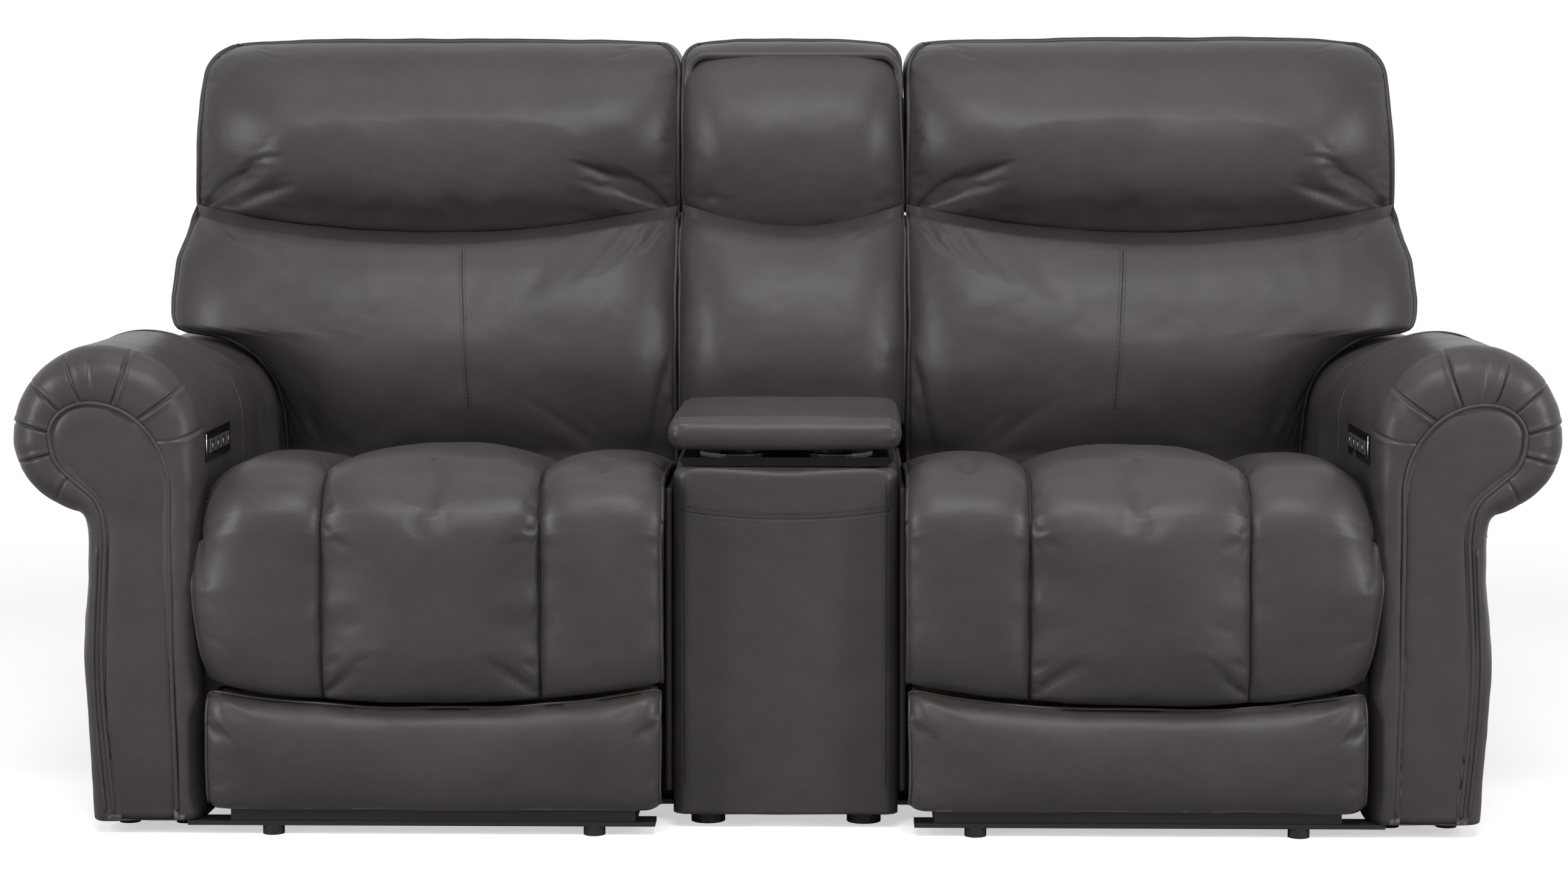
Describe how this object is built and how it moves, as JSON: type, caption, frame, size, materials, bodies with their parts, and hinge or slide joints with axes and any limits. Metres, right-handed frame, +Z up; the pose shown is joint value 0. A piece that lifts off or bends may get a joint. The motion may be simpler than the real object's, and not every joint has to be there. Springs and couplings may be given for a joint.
{
  "type": "power reclining loveseat",
  "caption": "Power reclining loveseat: rolled arms, channelled leather seats that recline with folding footrests and tilting headrests, and a lidded storage console between them.",
  "frame": {"origin": "on the floor under the middle of the whole piece", "axes": "+X to the sitter's left along the width, +Y towards the back, +Z up; the front faces -Y"},
  "size_m": [2.0428, 1.02, 1.068],
  "materials": {
    "leather": "satin",
    "black_steel": "satin",
    "zinc_steel": "satin",
    "polished_steel": "polished",
    "plywood": "matte",
    "gloss_black": "gloss",
    "black_plastic": "matte",
    "button_grey": "satin"
  },
  "bodies": {
    "frame": {"console_body": "leather", "console_tray": "gloss_black", "cup_holder_left": "polished_steel", "cup_holder_right": "polished_steel", "storage_bin": "black_plastic", "lid_hinge": "zinc_steel", "console_rear_pad": "leather", "console_foot_front_left": "black_plastic", "console_foot_front_right": "black_plastic", "console_foot_rear_left": "black_plastic", "console_foot_rear_right": "black_plastic", "centre_back_cushion": "leather", "centre_head_cushion": "leather", "centre_back_shell": "leather", "arm_cover_left": "leather", "arm_frame_left": "plywood", "arm_facing_left": "leather", "control_panel_left": "gloss_black", "base_frame_left": "black_steel", "recline_motor_left": "black_plastic", "arm_cover_right": "leather", "arm_frame_right": "plywood", "arm_facing_right": "leather", "control_panel_right": "gloss_black", "base_frame_right": "black_steel", "recline_motor_right": "black_plastic"},
    "seat_left": {"seat_frame_left": "black_steel", "seat_cushion_left": "leather"},
    "back_left": {"back_frame_left": "plywood", "back_cushion_left": "leather", "back_shell_left": "leather"},
    "headrest_left": {"headrest_cushion_left": "leather", "headrest_plate_left": "zinc_steel"},
    "rear_links_left": {"rear_links_left": "black_steel"},
    "front_links_left": {"front_links_left": "black_steel"},
    "footrest_left": {"footrest_board_left": "plywood", "footrest_upper_pad_left": "leather", "footrest_lower_pad_left": "leather"},
    "button_1_left": {"button_1_left": "button_grey"},
    "button_2_left": {"button_2_left": "button_grey"},
    "button_3_left": {"button_3_left": "button_grey"},
    "button_4_left": {"button_4_left": "button_grey"},
    "seat_right": {"seat_frame_right": "black_steel", "seat_cushion_right": "leather"},
    "back_right": {"back_frame_right": "plywood", "back_cushion_right": "leather", "back_shell_right": "leather"},
    "headrest_right": {"headrest_cushion_right": "leather", "headrest_plate_right": "zinc_steel"},
    "rear_links_right": {"rear_links_right": "black_steel"},
    "front_links_right": {"front_links_right": "black_steel"},
    "footrest_right": {"footrest_board_right": "plywood", "footrest_upper_pad_right": "leather", "footrest_lower_pad_right": "leather"},
    "button_1_right": {"button_1_right": "button_grey"},
    "button_2_right": {"button_2_right": "button_grey"},
    "button_3_right": {"button_3_right": "button_grey"},
    "button_4_right": {"button_4_right": "button_grey"},
    "console_lid": {"console_lid": "leather"}
  },
  "joints": [
    {"name": "seat_glide_left", "type": "slide", "parent": "frame", "child": "seat_left", "axis": [0, -1, 0], "range_m": [0, 0.06]},
    {"name": "recline_left", "type": "hinge", "parent": "seat_left", "child": "back_left", "pos_m": [-0.465, 0.34, 0.32], "axis": [-1, 0, 0], "range_deg": [0, 32]},
    {"name": "headrest_tilt_left", "type": "hinge", "parent": "back_left", "child": "headrest_left", "pos_m": [-0.465, 0.19, 0.784], "axis": [1, 0, 0], "range_deg": [0, 25]},
    {"name": "footrest_left", "type": "hinge", "parent": "seat_left", "child": "rear_links_left", "pos_m": [-0.465, -0.315, 0.286], "axis": [-1, 0, 0], "range_deg": [0, 76.7]},
    {"name": "footrest_elbow_left", "type": "hinge", "parent": "rear_links_left", "child": "front_links_left", "pos_m": [-0.465, -0.32, 0.09406], "axis": [1, 0, 0], "range_deg": [0, 153.5]},
    {"name": "footrest_turn_left", "type": "hinge", "parent": "front_links_left", "child": "footrest_left", "pos_m": [-0.465, -0.325, 0.286], "axis": [-1, 0, 0], "range_deg": [0, 166.8]},
    {"name": "press_1_left", "type": "slide", "parent": "frame", "child": "button_1_left", "axis": [-1, 0, 0], "range_m": [0, 0.002], "stiffness_N_per_m": 150},
    {"name": "press_2_left", "type": "slide", "parent": "frame", "child": "button_2_left", "axis": [-1, 0, 0], "range_m": [0, 0.002], "stiffness_N_per_m": 150},
    {"name": "press_3_left", "type": "slide", "parent": "frame", "child": "button_3_left", "axis": [-1, 0, 0], "range_m": [0, 0.002], "stiffness_N_per_m": 150},
    {"name": "press_4_left", "type": "slide", "parent": "frame", "child": "button_4_left", "axis": [-1, 0, 0], "range_m": [0, 0.002], "stiffness_N_per_m": 150},
    {"name": "seat_glide_right", "type": "slide", "parent": "frame", "child": "seat_right", "axis": [0, -1, 0], "range_m": [0, 0.06]},
    {"name": "recline_right", "type": "hinge", "parent": "seat_right", "child": "back_right", "pos_m": [0.465, 0.34, 0.32], "axis": [-1, 0, 0], "range_deg": [0, 32]},
    {"name": "headrest_tilt_right", "type": "hinge", "parent": "back_right", "child": "headrest_right", "pos_m": [0.465, 0.19, 0.784], "axis": [1, 0, 0], "range_deg": [0, 25]},
    {"name": "footrest_right", "type": "hinge", "parent": "seat_right", "child": "rear_links_right", "pos_m": [0.465, -0.315, 0.286], "axis": [-1, 0, 0], "range_deg": [0, 76.7]},
    {"name": "footrest_elbow_right", "type": "hinge", "parent": "rear_links_right", "child": "front_links_right", "pos_m": [0.465, -0.32, 0.09406], "axis": [1, 0, 0], "range_deg": [0, 153.5]},
    {"name": "footrest_turn_right", "type": "hinge", "parent": "front_links_right", "child": "footrest_right", "pos_m": [0.465, -0.325, 0.286], "axis": [-1, 0, 0], "range_deg": [0, 166.8]},
    {"name": "press_1_right", "type": "slide", "parent": "frame", "child": "button_1_right", "axis": [1, 0, 0], "range_m": [0, 0.002], "stiffness_N_per_m": 150},
    {"name": "press_2_right", "type": "slide", "parent": "frame", "child": "button_2_right", "axis": [1, 0, 0], "range_m": [0, 0.002], "stiffness_N_per_m": 150},
    {"name": "press_3_right", "type": "slide", "parent": "frame", "child": "button_3_right", "axis": [1, 0, 0], "range_m": [0, 0.002], "stiffness_N_per_m": 150},
    {"name": "press_4_right", "type": "slide", "parent": "frame", "child": "button_4_right", "axis": [1, 0, 0], "range_m": [0, 0.002], "stiffness_N_per_m": 150},
    {"name": "console_lid_hinge", "type": "hinge", "parent": "frame", "child": "console_lid", "pos_m": [0, -0.081, 0.515], "axis": [-1, 0, 0], "range_deg": [0, 85]}
  ],
  "couplings": [
    {"joint": "seat_glide_left", "follows": "recline_left", "m_per_rad": 0.10742},
    {"joint": "footrest_elbow_left", "follows": "footrest_left", "ratio": 2},
    {"joint": "footrest_turn_left", "follows": "footrest_left", "ratio": 2.1734},
    {"joint": "seat_glide_right", "follows": "recline_right", "m_per_rad": 0.10742},
    {"joint": "footrest_elbow_right", "follows": "footrest_right", "ratio": 2},
    {"joint": "footrest_turn_right", "follows": "footrest_right", "ratio": 2.1734}
  ]
}
